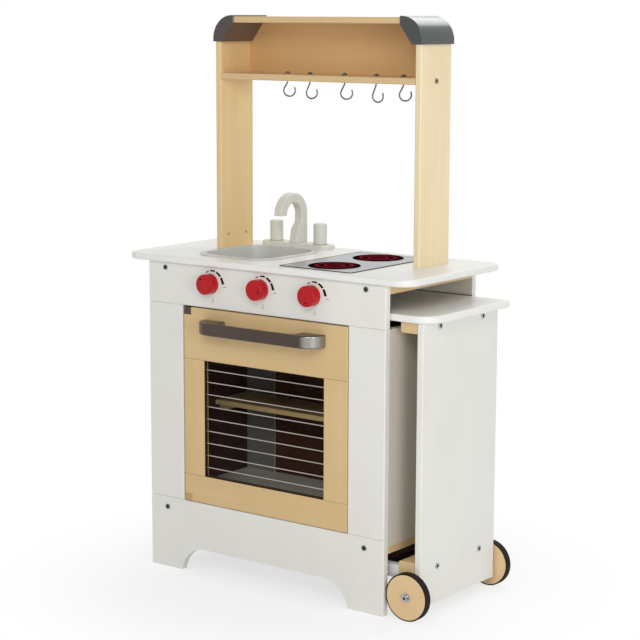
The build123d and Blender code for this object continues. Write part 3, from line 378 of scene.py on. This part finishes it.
# Metal
hob_silver = painted("hob_metal", (160, 160, 162), (148, 148, 150), 0.3, ripple=900.0, depth=0.05,
                     metallic=0.7)
bar_steel = painted("bar_steel", (188, 180, 172), (176, 168, 160), 0.3, metallic=0.8, depth=0.02)
post_screw_steel = painted("post_screw_steel", (176, 150, 116), (160, 136, 104), 0.4, metallic=0.4,
                           depth=0.02)
chrome = painted("bright_steel", (196, 196, 198), (176, 176, 178), 0.14, metallic=1.0, depth=0.02)
# Dark steel for the hooks; their upward faces are painted brown as a reflection
dark_chrome_painted_reflection = painted("dark_steel", (118, 116, 112), (84, 82, 79), 0.16, metallic=1.0, depth=0.02,
                      sides=[(Z, (92, 70, 48), 0.5, 0.8)])
screw_steel = painted("screw_steel", (118, 117, 114), (100, 99, 96), 0.22, metallic=1.0, depth=0.02)

# Brown board, painted shade, prints, outlines and shadow lines
brown = painted("brown_board", (93, 60, 44), (88, 56, 41), 0.45, depth=0.06, specular=0.25)
dark_brown_and_painted_shade = painted("dark_brown_board", (58, 38, 30), (50, 32, 25), 0.55, depth=0.06, specular=0.1)
gap_brown = painted("gap_line", (104, 78, 62), (96, 70, 54), 0.6, specular=0.1)
joint_brown = painted("joint_line", (150, 116, 74), (140, 108, 68), 0.6, specular=0.1)
ink = painted("black_print", (22, 19, 18), (30, 27, 26), 0.6, specular=0.1)
soft_ink = painted("grey_print", (162, 157, 150), (152, 147, 140), 0.55, specular=0.2)
well_shade_black = painted("socket_shadow", (22, 20, 20), (30, 27, 27), 0.6, specular=0.1)
outline_black = painted("hob_outline", (52, 52, 54), (42, 42, 44), 0.5, specular=0.2)
foot_line = painted("tap_foot_line", (104, 106, 98), (92, 94, 87), 0.55, specular=0.2)

# Which finish each CAD node gets
between_hinges = 300 * mm
finishes = {
    "worktop": white_top, "table_top": white_top, "control_panel": white_panel,
    "front_stiles": white_front, "front_plinth": white_front, "back_plinth": white_back,
    "back_stiles": white_stiles, "back_top_board": white_rail, "left_wall": white_left_wall,
    "right_wall": white_right_wall, "oven_ceiling": white_ceiling, "oven_floor": white,
    "table_end_panel": white_end_panel, "table_guides": dark_brown_and_painted_shade, "table_runners": white,
    "sink_basin": sink_grey, "hob_plate": hob_silver, "back_panel": brown,
    "left_corner_cap": shaded_left_cap, "right_corner_cap": lit_right_cap, "door_handle": handle_grey_painted_highlight,
    "door_catch": off_white, "window_pane": tinted_pane("tinted_pane"),
    "front_wheel_tyre": rubber, "rear_wheel_tyre": rubber, "window_bars": bar_steel,
    "handle_screws": chrome, "door_fittings": hinge_plates("hinge_plates", between_hinges),
    "cabinet_screws": screw_steel, "table_fasteners": chrome,
}
for name in "faucet_base faucet_spout faucet_tap_left faucet_tap_right".split():
    finishes[name] = tap_grey
for name in "knob_left knob_middle knob_right".split():
    finishes[name] = red
for number in range(1, 6):
    finishes[f"hook_{number}"] = dark_chrome_painted_reflection

# Birch plywood: the way of the grain, the way through the plies, and the boards with tones of their own or
# of painted light and shade
grain = {
    "left_post": (Z, X), "right_post": (Z, X), "overhead_shelf": (X, Z), "overhead_back_panel": (X, Y),
    "top_board": (X, Z), "oven_shelf": (X, Z), "shelf_cleats": (Y, Z), "floor_bearers": (Y, Z),
    "post_rails": (Y, Z), "door_top_rail": (X, Y), "door_bottom_rail": (X, Y), "door_left_stile": (Z, Y),
    "door_right_stile": (Z, Y), "table_batten": (Y, Z), "axle_block": (Y, Z),
    "front_wheel_disc": (X, Y), "rear_wheel_disc": (X, Y),
}
door_tones = {"pale": (222, 193, 142), "deep": (214, 184, 132)}
wheel_tones = {"pale": (233, 202, 158), "deep": (226, 193, 147)}
own_and_painted_tones = {
    # The two posts are one birch; the left is painted darker as shade and the right paler as light
    "left_post": {"pale": (240, 212, 160), "deep": (230, 199, 146)},
    "right_post": {"pale": (249, 232, 194), "deep": (240, 220, 178)},
    # The oven shelf is painted brighter as light inside the dark oven
    "oven_shelf": {"pale": (255, 224, 160), "deep": (250, 214, 146), "edge": (255, 216, 146)},
    # The overhead back panel is painted deeper and warmer as shade and bounced light
    "overhead_back_panel": {"pale": (226, 186, 130), "deep": (218, 176, 120)},
    "front_wheel_disc": wheel_tones, "rear_wheel_disc": wheel_tones,
    "door_top_rail": door_tones, "door_bottom_rail": door_tones, "door_left_stile": door_tones,
    "door_right_stile": door_tones,
}
veneer_step = 0.37
for count, (name, (along, through)) in enumerate(grain.items()):
    finishes[name] = birch(f"birch_{name}", along, through, veneer_step * count, **own_and_painted_tones.get(name, {}))

# Both burners are one node, and their rings lie at its two ends
burners_low, burners_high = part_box("hob_burners")
burner_radius = (burners_high.x - burners_low.x) / 2
burner_centres = [(burners_low.x + burner_radius, y, burners_high.z)
                  for y in (burners_low.y + burner_radius, burners_high.y - burner_radius)]
finishes["hob_burners"] = burner_print("burner_print", burner_centres)
for name, material in finishes.items():
    nodes[name].data.materials.clear()
    nodes[name].data.materials.append(material)


# Helpers for the added pieces

def place(x, y, z):
    # A point in millimetres as a vector in metres
    return Vector((x, y, z)) * mm


def middle_of(name):
    low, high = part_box(name)
    return (low + high) / 2


def strip(shape, inner, outer, lift, closed=True):
    # A raised strip between two lines of points
    low_in, high_in, low_out, high_out = [[shape.verts.new(point + rise) for point in line]
                                          for line in (inner, outer) for rise in (Vector(), lift)]
    count = len(inner)
    for i in range(count if closed else count - 1):
        j = (i + 1) % count
        for a, b in ((high_in, high_out), (high_out, low_out), (low_out, low_in), (low_in, high_in)):
            shape.faces.new((a[i], a[j], b[j], b[i]))
    if not closed:
        for end in (0, count - 1):
            shape.faces.new((low_in[end], low_out[end], high_out[end], high_in[end]))


def flat_bar(shape, left, right, bottom, top, back, thickness):
    # A bar from left to right whose front lies one thickness before its back
    lower, upper = [[Vector((x, back, level)) for x in (left, right)] for level in (bottom, top)]
    strip(shape, lower, upper, Vector((0, -thickness, 0)), closed=False)


def dished_disc(shape, rim, centre, lift, dish=0.3, well_share=0.5):
    # A disc on a line of rim points, its upper face sunk towards the middle
    low_rim = [shape.verts.new(point) for point in rim]
    high_rim = [shape.verts.new(point + lift) for point in rim]
    well = [shape.verts.new(centre.lerp(point, well_share) + lift * (1 - dish)) for point in rim]
    count = len(rim)
    for i in range(count):
        j = (i + 1) % count
        shape.faces.new((low_rim[i], low_rim[j], high_rim[j], high_rim[i]))
        shape.faces.new((high_rim[i], high_rim[j], well[j], well[i]))
    shape.faces.new(well)
    shape.faces.new(low_rim)


def add_piece(name, shape, material, body):
    # Turns the faces outwards, makes the object and lets it ride on its body
    bmesh.ops.recalc_face_normals(shape, faces=shape.faces)
    mesh = bpy.data.meshes.new(name)
    shape.to_mesh(mesh)
    shape.free()
    mesh.materials.append(material)
    piece = bpy.data.objects.new(name, mesh)
    scene.collection.objects.link(piece)
    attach(piece, body)


def arc(centre, radius, start, end, count, axes=(X, Z)):
    # Points on an arc in degrees; the radius may be a pair, from its start to its end
    first, last = radius if isinstance(radius, tuple) else (radius, radius)
    points = []
    for i in range(count):
        part = i / (count - 1)
        angle = radians(start + (end - start) * part)
        reach = first + (last - first) * part
        points.append(centre + (Vector(axes[0]) * cos(angle) + Vector(axes[1]) * sin(angle)) * reach * mm)
    return points


def circle(centre, radius, count, axes=(X, Z)):
    # Points on a whole circle, the first of them only once
    return arc(centre, radius, 0, 360 - 360 / count, count, axes)


# Printed dials round the knobs: a scale that thickens clockwise, a tick and a drop
knob_bodies = {"knob_left": "left knob", "knob_middle": "middle knob", "knob_right": "right knob"}
knob_centres = {name: middle_of(name) for name in knob_bodies}
for centre in knob_centres.values():
    centre.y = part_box("control_panel")[0].y
print_height = 0.06 * mm
print_lift = Vector((0, -print_height, 0))
scale_parts = [(120, 102), (92, 66), (59, 33), (28, 2)]
scale_start, scale_end = scale_parts[0][0], scale_parts[-1][1]
scale_inside, scale_outside = (20.0, 24.6), (21.4, 30.0)
arc_steps = 12
tick_left, tick_right, tick_bottom, tick_top = 27.5 * mm, 35 * mm, -4.3 * mm, -3.1 * mm
drop_place, drop_width, drop_height, drop_hole = place(5.2, 0, -28), 2.8, 4.2, 0.68
drop_steps = 24


def scale_radius(angle, ends):
    part = (scale_start - angle) / (scale_start - scale_end)
    return ends[0] + (ends[1] - ends[0]) * part


def dial_scales():
    shape = bmesh.new()
    for centre in knob_centres.values():
        for start, end in scale_parts:
            lines = [arc(centre, (scale_radius(start, ends), scale_radius(end, ends)), start, end, arc_steps)
                     for ends in (scale_inside, scale_outside)]
            strip(shape, *lines, print_lift, closed=False)
    add_piece("dial_scales", shape, ink, "cabinet")


def dial_marks():
    turns = [2 * pi * i / drop_steps for i in range(drop_steps)]
    drop = [place(drop_width * sin(turn) * sin(turn / 2), 0, drop_height * cos(turn)) for turn in turns]
    shape = bmesh.new()
    for centre in knob_centres.values():
        flat_bar(shape, centre.x + tick_left, centre.x + tick_right, centre.z + tick_bottom,
                 centre.z + tick_top, centre.y, print_height)
        middle = centre + drop_place
        strip(shape, [middle + point * drop_hole for point in drop], [middle + point for point in drop],
              print_lift)
    add_piece("dial_marks", shape, soft_ink, "cabinet")


# Black ink in the knobs' sunk dots
dot_turns = {"knob_left": 125, "knob_middle": -10, "knob_right": -80}
dot_orbit, dot_radius, dot_depth, ink_depth = 10.5, 1.85, 0.8 * mm, 0.56 * mm
dot_steps = 24


def knob_dots():
    for name, body in knob_bodies.items():
        turn = radians(dot_turns[name])
        middle = knob_centres[name] + place(dot_orbit * cos(turn), 0, dot_orbit * sin(turn))
        middle.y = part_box(name)[0].y + dot_depth
        shape = bmesh.new()
        dished_disc(shape, circle(middle, dot_radius, dot_steps), middle, Vector((0, -ink_depth, 0)))
        add_piece(name.replace("knob", "dot"), shape, ink, body)


def inner_kick_board():
    # Dark board in front of the back plinth, clear of the arch's own opening; its dark brown is painted
    # shade under the cabinet
    left_play, right_play, floor_gap, height, plinth_gap, thickness = 12, 1, 4, 44, 11.5, 3
    low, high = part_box("back_plinth")
    bottom = low.z + floor_gap * mm
    shape = bmesh.new()
    flat_bar(shape, low.x + left_play * mm, high.x - right_play * mm, bottom, bottom + height * mm,
             low.y - plinth_gap * mm, thickness * mm)
    add_piece("inner_kick_board", shape, dark_brown_and_painted_shade, "cabinet")


def table_gap_line():
    # Shadow line behind the table top, on the board across the back
    half_height, board_gap, thickness = 1 * mm, 0.05 * mm, 0.35 * mm
    board_low, board_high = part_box("back_top_board")
    top_low, top_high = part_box("table_top")
    shape = bmesh.new()
    flat_bar(shape, top_low.x, board_high.x, top_high.z - half_height, top_high.z + half_height,
             board_low.y - board_gap, thickness)
    add_piece("table_gap_line", shape, gap_brown, "cabinet")


# Dark seal round the window, and the joint lines of the door frame
window_left, window_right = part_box("door_left_stile")[1].x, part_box("door_right_stile")[0].x
window_bottom, window_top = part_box("door_bottom_rail")[1].z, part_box("door_top_rail")[0].z
rail_front, rail_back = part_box("door_top_rail")[0].y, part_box("door_top_rail")[1].y


def window_outline(inset, depth):
    left, right = window_left + inset, window_right - inset
    bottom, top = window_bottom + inset, window_top - inset
    return [Vector((x, depth, z)) for x, z in ((left, bottom), (right, bottom), (right, top), (left, top))]


def window_seal():
    # One frame from the pane towards the front and one towards the back
    thickness, play, front_sunk, back_sunk = 0.7 * mm, 0.02 * mm, 0.4 * mm, 0.1 * mm
    pane_low, pane_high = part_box("window_pane")
    shape = bmesh.new()
    for pane_face, end in ((pane_low.y, rail_front + front_sunk), (pane_high.y, rail_back - back_sunk)):
        strip(shape, window_outline(thickness, pane_face), window_outline(play, pane_face),
              Vector((0, end - pane_face, 0)))
    add_piece("window_seal", shape, dark_brown_and_painted_shade, "door")


def door_joint_lines():
    # Where the rails meet the stiles, left and right of the window
    half_height, proud = 0.3 * mm, 0.06 * mm
    door_left, door_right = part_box("door_left_stile")[0].x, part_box("door_right_stile")[1].x
    shape = bmesh.new()
    for left, right in ((door_left, window_left), (window_right, door_right)):
        for level in (window_bottom, window_top):
            flat_bar(shape, left, right, level - half_height, level + half_height, rail_front, proud)
    add_piece("door_joint_lines", shape, joint_brown, "door")


def rounded_outline(low, high, level, inset, corner, steps=6):
    # A box seen from above, moved in by the inset and with rounded corners, both in millimetres
    reach = (inset + corner) * mm
    left, right, front, back = low.x + reach, high.x - reach, low.y + reach, high.y - reach
    points = []
    for x, y, start in ((right, back, 0), (left, back, 90), (left, front, 180), (right, front, 270)):
        points += arc(Vector((x, y, level)), corner, start, start + 90, steps, (X, Y))
    return points


def hob_outline():
    # Black line over the edge of the hob plate, down to the worktop
    proud = 0.12 * mm
    low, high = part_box("hob_plate")
    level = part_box("worktop")[1].z
    shape = bmesh.new()
    strip(shape, rounded_outline(low, high, level, inset=2.0, corner=2.0),
          rounded_outline(low, high, level, inset=-0.4, corner=4.0), Vector((0, 0, high.z + proud - level)))
    add_piece("hob_outline", shape, outline_black, "cabinet")


def tap_foot_lines():
    # Shadow lines on the base, round the feet of both taps
    inner_gap, outer_gap, height, steps = 0.1, 0.9, 0.4 * mm, 48
    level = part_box("faucet_base")[1].z
    shape = bmesh.new()
    for name in ("faucet_tap_left", "faucet_tap_right"):
        low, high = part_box(name)
        middle = middle_of(name)
        middle.z = level
        radius = (high.x - low.x) / 2 / mm
        rings = [circle(middle, radius + gap, steps, (X, Y)) for gap in (inner_gap, outer_gap)]
        strip(shape, *rings, Vector((0, 0, height)))
    add_piece("tap_foot_lines", shape, foot_line, "cabinet")


# Screw heads: on each point a rounded rim with a hexagonal well in it, painted dark as shade
rim_steps, rim_section_steps, hexagon_corners = 24, 10, 6
rim_sunk, well_depth, merge_distance = 0.45 * mm, 0.3 * mm, 0.01 * mm


def head_tree():
    tree = bpy.data.node_groups.new("socket_heads", "GeometryNodeTree")
    for name, kind in (("Points", "NodeSocketGeometry"), ("Rim Radius", "NodeSocketFloat"),
                       ("Rim Thickness", "NodeSocketFloat"), ("Rim Sunk", "NodeSocketFloat"),
                       ("Well Radius", "NodeSocketFloat"), ("Well Depth", "NodeSocketFloat"),
                       ("Rim Finish", "NodeSocketMaterial"), ("Well Finish", "NodeSocketMaterial")):
        tree.interface.new_socket(name, in_out="INPUT", socket_type=kind)
    tree.interface.new_socket("Heads", in_out="OUTPUT", socket_type="NodeSocketGeometry")
    n = Nodes(tree)
    given = n.add("NodeGroupInput").outputs
    facing = n.add("GeometryNodeInputNamedAttribute", "which way each head looks", data_type="FLOAT_VECTOR")
    n.feed(facing, Name="facing")
    turned = n.feed(n.add("FunctionNodeAlignRotationToVector", axis="Z"), Vector=facing.outputs[0])
    path = n.feed(n.add("GeometryNodeCurvePrimitiveCircle"), Resolution=rim_steps,
                  Radius=given["Rim Radius"])
    section = n.feed(n.add("GeometryNodeCurvePrimitiveCircle"), Resolution=rim_section_steps,
                     Radius=given["Rim Thickness"])
    rim = n.feed(n.add("GeometryNodeCurveToMesh"), Curve=path.outputs[0], Profile_Curve=section.outputs[0])
    drop = n.feed(n.add("ShaderNodeCombineXYZ"), Z=n.math("MULTIPLY", given["Rim Sunk"], -1.0))
    rim = n.feed(n.add("GeometryNodeTransform"), Geometry=rim.outputs[0], Translation=drop.outputs[0])
    well = n.add("GeometryNodeMeshCylinder", "hexagonal well")
    n.feed(well, Vertices=hexagon_corners, Radius=given["Well Radius"], Depth=given["Well Depth"])
    heads = n.add("GeometryNodeJoinGeometry")
    for shape, finish in ((rim.outputs[0], given["Rim Finish"]), (well.outputs[0], given["Well Finish"])):
        spread = n.feed(n.add("GeometryNodeInstanceOnPoints"), Points=given["Points"], Instance=shape,
                        Rotation=turned.outputs[0])
        real = n.feed(n.add("GeometryNodeRealizeInstances"), Geometry=spread.outputs[0])
        coated = n.feed(n.add("GeometryNodeSetMaterial"), Geometry=real.outputs[0], Material=finish)
        n.join(coated.outputs[0], heads.inputs[0])
    n.join(heads.outputs[0], n.add("NodeGroupOutput").inputs[0])
    return tree


HEADS = head_tree()


def screw_heads(name, spots, body, rim=screw_steel, rim_radius=3.6, rim_thickness=0.85, well_radius=2.9):
    # spots lists the point and the direction of each head, and the sizes are in millimetres
    mesh = bpy.data.meshes.new(name)
    mesh.from_pydata([point for point, direction in spots], [], [])
    facing = mesh.attributes.new("facing", "FLOAT_VECTOR", "POINT")
    facing.data.foreach_set("vector", [value for point, direction in spots for value in direction])
    piece = bpy.data.objects.new(name, mesh)
    scene.collection.objects.link(piece)
    modifier = piece.modifiers.new("heads", "NODES")
    modifier.node_group = HEADS
    sockets = {item.name: item.identifier for item in HEADS.interface.items_tree if item.in_out == "INPUT"}
    values = {"Rim Radius": rim_radius * mm, "Rim Thickness": rim_thickness * mm, "Rim Sunk": rim_sunk,
              "Well Radius": well_radius * mm, "Well Depth": well_depth, "Rim Finish": rim,
              "Well Finish": well_shade_black}
    for key, value in values.items():
        modifier[sockets[key]] = value
    solved = piece.evaluated_get(bpy.context.evaluated_depsgraph_get())
    result = bpy.data.meshes.new_from_object(solved)
    piece.modifiers.clear()
    shape = bmesh.new()
    shape.from_mesh(result)
    bmesh.ops.remove_doubles(shape, verts=shape.verts, dist=merge_distance)
    bmesh.ops.recalc_face_normals(shape, faces=shape.faces)
    for face in shape.faces:
        on_rim = len(face.verts) == 4 and face.material_index == 0
        face.smooth = on_rim
    shape.to_mesh(result)
    shape.free()
    piece.data = result
    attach(piece, body)


def cabinet_screw_heads():
    # Near the corners of the front frame and, behind them, of the back frame
    side_inset, below_stiles, below_top = 39 * mm, 18 * mm, 9.5 * mm
    low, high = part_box("cabinet_screws")
    plinth_low, plinth_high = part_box("front_plinth")
    columns = [plinth_low.x + side_inset, plinth_high.x - side_inset]
    rows = [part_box("front_stiles")[0].z - below_stiles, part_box("control_panel")[1].z - below_top]
    spots = [((x, y, z), (0, side, 0)) for x in columns for z in rows
             for y, side in ((low.y, -1), (high.y, 1))]
    screw_heads("cabinet_screw_heads", spots, "cabinet")


def post_screw_heads():
    # On the outer face of each post, level with the overhead shelf
    proud = 1.2 * mm
    depth, level = middle_of("right_post").y, middle_of("overhead_shelf").z
    spots = [((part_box("left_post")[0].x - proud, depth, level), (-1, 0, 0)),
             ((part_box("right_post")[1].x + proud, depth, level), (1, 0, 0))]
    screw_heads("post_screw_heads", spots, "cabinet", rim=post_screw_steel, well_radius=1.5)


def panel_screw_heads():
    # On the table's end panel, two over the ends of the batten and two over those of the axle block
    proud, half_pitch, below_block_top = 1.2 * mm, 64 * mm, 13 * mm
    outside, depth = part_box("table_end_panel")[1].x + proud, middle_of("table_end_panel").y
    levels = (middle_of("table_batten").z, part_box("axle_block")[1].z - below_block_top)
    spots = [((outside, depth + side * half_pitch, level), (1, 0, 0))
             for side in (-1, 1) for level in levels]
    screw_heads("panel_screw_heads", spots, "serving table", rim=chrome, rim_radius=4.4,
                rim_thickness=1.3, well_radius=3)


def wheel_bolt_wells():
    # Hexagonal wells in the heads of the two wheel bolts, painted dark as shade
    head_height, well_radius, well_height = 3.5 * mm, 2.3, 1.2 * mm
    low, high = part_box("table_fasteners")
    axle = middle_of("front_wheel_disc")
    shape = bmesh.new()
    for y, inward in ((low.y, 1), (high.y, -1)):
        middle = Vector((axle.x, y + inward * head_height, axle.z))
        dished_disc(shape, circle(middle, well_radius, hexagon_corners), middle,
                    Vector((0, -inward * well_height, 0)))
    add_piece("wheel_bolt_wells", shape, well_shade_black, "serving table")


dial_scales()
dial_marks()
knob_dots()
inner_kick_board()
table_gap_line()
window_seal()
door_joint_lines()
hob_outline()
tap_foot_lines()
cabinet_screw_heads()
post_screw_heads()
panel_screw_heads()
wheel_bolt_wells()

# Camera, solved from the photograph's edges
azimuth, pitch, roll = radians(37.0), radians(9.338), radians(0.203)
forward = Vector((-sin(azimuth) * cos(pitch), cos(azimuth) * cos(pitch), -sin(pitch)))
sideways = Vector((cos(azimuth), sin(azimuth), 0))
upward = sideways.cross(forward)
rolled_side = cos(roll) * sideways + sin(roll) * upward
rolled_up = -sin(roll) * sideways + cos(roll) * upward
camera_place = Vector((1.91665, -2.5202, 0.9746))
focal_pixels = 1861.5
frame_pixels = 640
camera_data = bpy.data.cameras.new("camera")
camera_data.sensor_width = 36
camera_data.lens = focal_pixels / frame_pixels * camera_data.sensor_width
camera = bpy.data.objects.new("camera", camera_data)
camera_turn = Matrix((rolled_side, rolled_up, -forward)).transposed().to_4x4()
camera.matrix_world = Matrix.Translation(camera_place) @ camera_turn
scene.collection.objects.link(camera)
scene.camera = camera

# Floor, world and lamps
floor_reach = 6.0
floor_corners = [(-floor_reach, -floor_reach, 0), (floor_reach, -floor_reach, 0),
                 (floor_reach, floor_reach, 0), (-floor_reach, floor_reach, 0)]
floor_mesh = bpy.data.meshes.new("floor")
floor_mesh.from_pydata(floor_corners, [], [(0, 1, 2, 3)])
floor = bpy.data.objects.new("floor", floor_mesh)
scene.collection.objects.link(floor)


def floor_material():
    # Pale floor that keeps the contact shadow and turns plain white away from the object
    shadow_reach, plain_reach, least_share = 0.2, 0.6, 0.7
    material, n, shader, coords = start_material("pale_floor")
    n.feed(shader, Base_Color=linear(247, 247, 247), Roughness=0.85)
    away = n.add("ShaderNodeVectorMath", operation="LENGTH")
    n.join(coords["Object"], away.inputs[0])
    glow = n.add("ShaderNodeEmission")
    n.feed(glow, Color=(1, 1, 1, 1), Strength=1.0)
    distance = n.ramp(away.outputs["Value"], shadow_reach, plain_reach)
    share = n.math("ADD", n.math("MULTIPLY", distance, 1 - least_share), least_share)
    blend = n.add("ShaderNodeMixShader")
    n.join(n.math("MULTIPLY", share, n.seen()), blend.inputs[0])
    n.join(shader.outputs[0], blend.inputs[1])
    n.join(glow.outputs[0], blend.inputs[2])
    n.join(blend.outputs[0], material.node_tree.nodes["Material Output"].inputs[0])
    return material


floor_mesh.materials.append(floor_material())

# White world, at full strength where it is seen and weaker as a light
world_light = 0.5
world = bpy.data.worlds.new("studio")
scene.world = world
world.use_nodes = True
sky = Nodes(world.node_tree)
strength = sky.math("ADD", world_light, sky.math("MULTIPLY", sky.seen(), 1 - world_light))
sky.feed(world.node_tree.nodes["Background"], Color=(1, 1, 1, 1), Strength=strength)
scene.view_settings.view_transform = "Standard"

# Three soft lamps that look at the middle of the object
lamp_target = Vector((0.0, 0.0, 0.5))


def softbox(name, spot, size, power):
    data = bpy.data.lights.new(name, "AREA")
    data.shape = "RECTANGLE"
    data.size, data.size_y = size
    data.energy = power
    lamp = bpy.data.objects.new(name, data)
    aim = (lamp_target - Vector(spot)).to_track_quat("-Z", "Y")
    lamp.matrix_world = Matrix.Translation(Vector(spot)) @ aim.to_matrix().to_4x4()
    scene.collection.objects.link(lamp)


softbox("key_lamp", spot=(1.4, -2.3, 1.95), size=(0.9, 0.9), power=20.5)
softbox("side_lamp", spot=(2.5, -1.45, 0.8), size=(1.0, 0.8), power=17)
softbox("back_lamp", spot=(-0.2, 1.4, 2.4), size=(1.5, 1.5), power=18)
